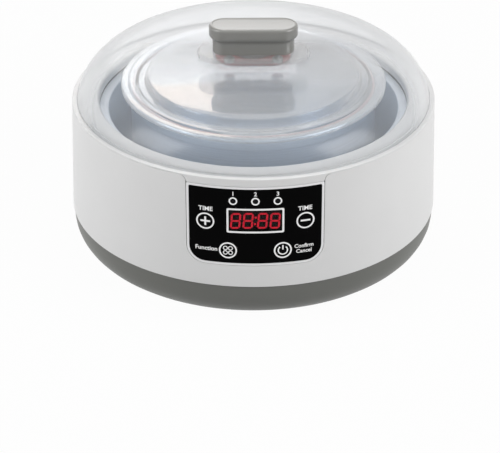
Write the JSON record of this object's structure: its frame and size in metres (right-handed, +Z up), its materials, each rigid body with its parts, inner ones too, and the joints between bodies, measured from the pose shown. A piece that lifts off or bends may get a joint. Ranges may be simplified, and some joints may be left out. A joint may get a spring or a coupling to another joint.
{
  "type": "yogurt maker",
  "caption": "Round countertop yogurt maker: a heated well with a lift-out steel pot, a vented inner lid, a frosted dome lid with a grip, and a curved key panel with a display.",
  "frame": {"origin": "on the table, under the middle of the housing", "axes": "+Z up, the control panel faces -Y, +X to the right of the panel"},
  "size_m": [0.2, 0.2, 0.1278],
  "materials": {
    "white_plastic": "satin",
    "grey_base": "satin",
    "grey_handle": "satin",
    "foot_rubber": "matte",
    "frosted_lid": "frosted clear",
    "clear_lid": "clear",
    "pink_silicone": "matte",
    "red_silicone": "matte",
    "white_vent": "gloss",
    "pot_steel": "brushed",
    "well_aluminium": "satin",
    "screw_steel": "bright",
    "seal_rubber": "matte",
    "heater_mica": "matte",
    "plated_sheet": "plated",
    "sensor_metal": "bright",
    "panel_black": "gloss",
    "panel_trim": "satin",
    "display_smoke": "gloss",
    "key_black": "gloss",
    "plunger_white": "satin",
    "board_green": "satin",
    "component_black": "matte",
    "led_red": "gloss",
    "transformer_yellow": "matte",
    "inlet_black": "satin",
    "lead_sleeve": "matte"
  },
  "bodies": {
    "housing": {"base_screws": "screw_steel", "base_tray": "grey_base", "buzzer": "component_black", "clamp_nuts": "screw_steel", "control_board": "board_green", "control_chip": "component_black", "display_module": "component_black", "display_window": "display_smoke", "feet": "foot_rubber", "fuse_clip": "plated_sheet", "heat_shield": "plated_sheet", "heater_clamp": "plated_sheet", "heater_leads": "lead_sleeve", "heater_plate": "heater_mica", "heating_well": "well_aluminium", "housing_shell": "white_plastic", "indicator_leds": "led_red", "indicator_lenses": "display_smoke", "inlet_pins": "screw_steel", "mains_inlet": "inlet_black", "mains_leads": "lead_sleeve", "panel_frame": "panel_trim", "panel_overlay": "panel_black", "power_board": "board_green", "relay": "component_black", "smoothing_capacitor": "component_black", "tact_switches": "component_black", "temperature_sensor": "sensor_metal", "thermal_fuse": "sensor_metal", "top_bezel": "white_plastic", "transformer": "transformer_yellow", "well_gasket": "seal_rubber", "well_pillars": "screw_steel", "well_screws": "screw_steel"},
    "pot": {"inner_pot": "pot_steel"},
    "inner_lid": {"inner_lid": "clear_lid", "lid_seal": "pink_silicone", "vent_seat": "red_silicone"},
    "outer_lid": {"outer_lid": "frosted_lid", "lid_handle": "grey_handle", "handle_screws": "screw_steel"},
    "vent_plug": {"vent_plug": "white_vent"},
    "key_plus": {"key_plus": "key_black", "plunger_plus": "plunger_white"},
    "key_minus": {"key_minus": "key_black", "plunger_minus": "plunger_white"},
    "key_function": {"key_function": "key_black", "plunger_function": "plunger_white"},
    "key_power": {"key_power": "key_black", "plunger_power": "plunger_white"}
  },
  "joints": [
    {"name": "pot_lift", "type": "slide", "parent": "housing", "child": "pot", "axis": [0, 0, 1], "range_m": [0, 0.09]},
    {"name": "inner_lid_lift", "type": "slide", "parent": "pot", "child": "inner_lid", "axis": [0, 0, 1], "range_m": [0, 0.03]},
    {"name": "outer_lid_lift", "type": "slide", "parent": "inner_lid", "child": "outer_lid", "axis": [0, 0, 1], "range_m": [0, 0.06]},
    {"name": "vent_lift", "type": "slide", "parent": "inner_lid", "child": "vent_plug", "axis": [0, 0, 1], "range_m": [0, 0.0012]},
    {"name": "plus_press", "type": "slide", "parent": "housing", "child": "key_plus", "axis": [0, 1, 0], "range_m": [0, 0.0006], "stiffness_N_per_m": 150},
    {"name": "minus_press", "type": "slide", "parent": "housing", "child": "key_minus", "axis": [0, 1, 0], "range_m": [0, 0.0006], "stiffness_N_per_m": 150},
    {"name": "function_press", "type": "slide", "parent": "housing", "child": "key_function", "axis": [0, 1, 0], "range_m": [0, 0.0006], "stiffness_N_per_m": 150},
    {"name": "power_press", "type": "slide", "parent": "housing", "child": "key_power", "axis": [0, 1, 0], "range_m": [0, 0.0006], "stiffness_N_per_m": 150}
  ]
}
